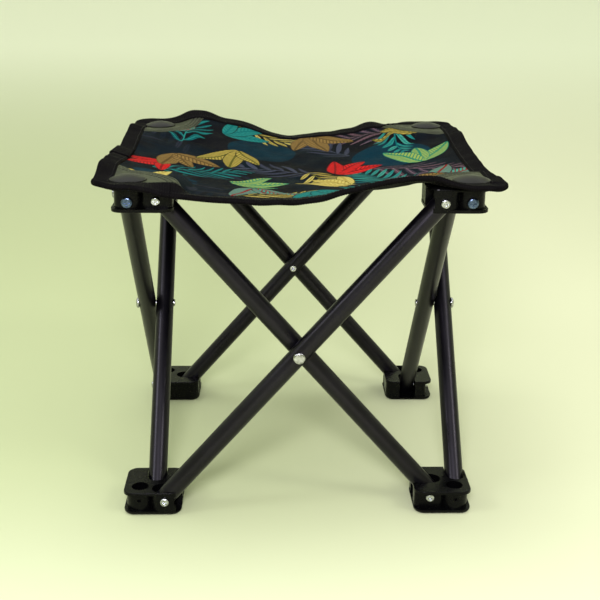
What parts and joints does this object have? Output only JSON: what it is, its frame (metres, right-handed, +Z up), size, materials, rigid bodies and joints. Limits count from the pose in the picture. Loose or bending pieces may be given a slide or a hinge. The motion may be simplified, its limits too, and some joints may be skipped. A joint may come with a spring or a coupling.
{
  "type": "folding camp stool",
  "caption": "Small four-sided folding camp stool: crossed steel tubes on moulded corner feet, with a sagging printed cloth seat.",
  "frame": {"origin": "on the ground, under the middle of the seat", "axes": "+Z up, +Y towards the back; the front side is at -Y and the left side at -X"},
  "size_m": [0.32, 0.32, 0.2898],
  "materials": {
    "tube_black": "satin powder coat, black",
    "block_plastic": "moulded black, fine texture",
    "rivet_steel": "bright zinc plate",
    "screw_steel": "bright zinc plate",
    "cap_screw_zinc": "blue zinc plate",
    "cap_plastic": "dark grey, soft gloss",
    "corner_vinyl": "smooth dark olive vinyl",
    "binding_tape": "black ribbed tape",
    "printed_cloth": "printed polyester weave"
  },
  "bodies": {
    "foot_front_left": {"foot_front_left": "block_plastic", "foot_screws_front_left": "screw_steel"},
    "bracket_front_left": {"bracket_front_left": "block_plastic", "bracket_screws_front_left": "screw_steel", "cap_front_left": "cap_plastic", "cap_screw_front_left": "cap_screw_zinc", "seat_corner_front_left": "corner_vinyl", "seat_edge_left": "binding_tape"},
    "tube_outer_front": {"tube_outer_front": "tube_black", "rivet_front": "rivet_steel"},
    "tube_inner_front": {"tube_inner_front": "tube_black"},
    "foot_front_right": {"foot_front_right": "block_plastic", "foot_screws_front_right": "screw_steel"},
    "bracket_front_right": {"bracket_front_right": "block_plastic", "bracket_screws_front_right": "screw_steel", "cap_front_right": "cap_plastic", "cap_screw_front_right": "cap_screw_zinc", "seat_corner_front_right": "corner_vinyl", "seat_edge_right": "binding_tape"},
    "tube_outer_right": {"tube_outer_right": "tube_black", "rivet_right": "rivet_steel"},
    "tube_inner_right": {"tube_inner_right": "tube_black"},
    "foot_back_right": {"foot_back_right": "block_plastic", "foot_screws_back_right": "screw_steel"},
    "bracket_back_right": {"bracket_back_right": "block_plastic", "bracket_screws_back_right": "screw_steel", "cap_back_right": "cap_plastic", "cap_screw_back_right": "cap_screw_zinc", "seat_corner_back_right": "corner_vinyl"},
    "tube_outer_back": {"tube_outer_back": "tube_black", "rivet_back": "rivet_steel"},
    "tube_inner_back": {"tube_inner_back": "tube_black"},
    "foot_back_left": {"foot_back_left": "block_plastic", "foot_screws_back_left": "screw_steel"},
    "bracket_back_left": {"bracket_back_left": "block_plastic", "bracket_screws_back_left": "screw_steel", "cap_back_left": "cap_plastic", "cap_screw_back_left": "cap_screw_zinc", "seat_corner_back_left": "corner_vinyl"},
    "tube_outer_left": {"tube_outer_left": "tube_black", "rivet_left": "rivet_steel"},
    "tube_inner_left": {"tube_inner_left": "tube_black"},
    "seat_middle_left": {"seat_middle_left": "printed_cloth"},
    "seat_middle_right": {"seat_middle_right": "printed_cloth"}
  },
  "joints": [
    {"name": "fold", "type": "hinge", "parent": "foot_front_left", "child": "tube_outer_front", "pos_m": [-0.1125, -0.1378, 0.013], "axis": [0, -1, 0], "range_deg": [0, 35.8], "deforming": ["seat_edge_left", "seat_edge_right", "seat_middle_left", "seat_middle_right"]},
    {"name": "rivet_front", "type": "hinge", "parent": "tube_outer_front", "child": "tube_inner_front", "pos_m": [0, -0.1297, 0.1415], "axis": [0, -1, 0], "range_deg": [-72.1, 0.5]},
    {"name": "outer_front_top", "type": "hinge", "parent": "tube_outer_front", "child": "bracket_front_right", "pos_m": [0.1125, -0.1378, 0.27], "axis": [0, -1, 0], "range_deg": [-36.3, 0.5]},
    {"name": "inner_front_top", "type": "hinge", "parent": "tube_inner_front", "child": "bracket_front_left", "pos_m": [-0.1125, -0.1216, 0.27], "axis": [0, -1, 0], "range_deg": [-0.5, 36.3]},
    {"name": "inner_front_foot", "type": "hinge", "parent": "tube_inner_front", "child": "foot_front_right", "pos_m": [0.1125, -0.1216, 0.013], "axis": [0, -1, 0], "range_deg": [-0.5, 36.3]},
    {"name": "inner_left_foot", "type": "hinge", "parent": "foot_front_left", "child": "tube_inner_left", "pos_m": [-0.1216, -0.1125, 0.013], "axis": [-1, 0, 0], "range_deg": [-36.3, 0.5]},
    {"name": "rivet_left", "type": "hinge", "parent": "tube_inner_left", "child": "tube_outer_left", "pos_m": [-0.1297, 0, 0.1415], "axis": [-1, 0, 0], "range_deg": [-0.5, 72.1]},
    {"name": "inner_left_top", "type": "hinge", "parent": "tube_inner_left", "child": "bracket_back_left", "pos_m": [-0.1216, 0.1125, 0.27], "axis": [-1, 0, 0], "range_deg": [-0.5, 36.3]},
    {"name": "outer_left_foot", "type": "hinge", "parent": "tube_outer_left", "child": "foot_back_left", "pos_m": [-0.1378, 0.1125, 0.013], "axis": [-1, 0, 0], "range_deg": [-36.3, 0.5]},
    {"name": "outer_right_foot", "type": "hinge", "parent": "foot_front_right", "child": "tube_outer_right", "pos_m": [0.1378, -0.1125, 0.013], "axis": [1, 0, 0], "range_deg": [-0.5, 36.3]},
    {"name": "rivet_right", "type": "hinge", "parent": "tube_outer_right", "child": "tube_inner_right", "pos_m": [0.1297, 0, 0.1415], "axis": [1, 0, 0], "range_deg": [-72.1, 0.5]},
    {"name": "outer_right_top", "type": "hinge", "parent": "tube_outer_right", "child": "bracket_back_right", "pos_m": [0.1378, 0.1125, 0.27], "axis": [1, 0, 0], "range_deg": [-36.3, 0.5]},
    {"name": "inner_right_foot", "type": "hinge", "parent": "tube_inner_right", "child": "foot_back_right", "pos_m": [0.1216, 0.1125, 0.013], "axis": [1, 0, 0], "range_deg": [-0.5, 36.3]},
    {"name": "outer_back_foot", "type": "hinge", "parent": "foot_back_right", "child": "tube_outer_back", "pos_m": [0.1125, 0.1378, 0.013], "axis": [0, 1, 0], "range_deg": [-0.5, 36.3]},
    {"name": "rivet_back", "type": "hinge", "parent": "tube_outer_back", "child": "tube_inner_back", "pos_m": [0, 0.1297, 0.1415], "axis": [0, 1, 0], "range_deg": [-72.1, 0.5]},
    {"name": "seat_fold_left", "type": "hinge", "parent": "bracket_front_left", "child": "seat_middle_left", "pos_m": [-0.0995, 0, 0.283], "axis": [0, 1, 0], "range_deg": [-1, 86]},
    {"name": "seat_fold_right", "type": "hinge", "parent": "bracket_front_right", "child": "seat_middle_right", "pos_m": [0.0995, 0, 0.283], "axis": [0, -1, 0], "range_deg": [-1, 86]}
  ],
  "couplings": [
    {"joint": "rivet_front", "follows": "fold", "ratio": -2},
    {"joint": "outer_front_top", "follows": "fold", "ratio": -1},
    {"joint": "inner_front_top", "follows": "fold", "ratio": 1},
    {"joint": "inner_front_foot", "follows": "fold", "ratio": 1},
    {"joint": "inner_left_foot", "follows": "fold", "ratio": -1},
    {"joint": "rivet_left", "follows": "fold", "ratio": 2},
    {"joint": "inner_left_top", "follows": "fold", "ratio": 1},
    {"joint": "outer_left_foot", "follows": "fold", "ratio": -1},
    {"joint": "outer_right_foot", "follows": "fold", "ratio": 1},
    {"joint": "rivet_right", "follows": "fold", "ratio": -2},
    {"joint": "outer_right_top", "follows": "fold", "ratio": -1},
    {"joint": "inner_right_foot", "follows": "fold", "ratio": 1},
    {"joint": "outer_back_foot", "follows": "fold", "ratio": 1},
    {"joint": "rivet_back", "follows": "fold", "ratio": -2},
    {"joint": "seat_fold_left", "follows": "fold", "ratio": 2.3743},
    {"joint": "seat_fold_right", "follows": "fold", "ratio": 2.3743}
  ]
}
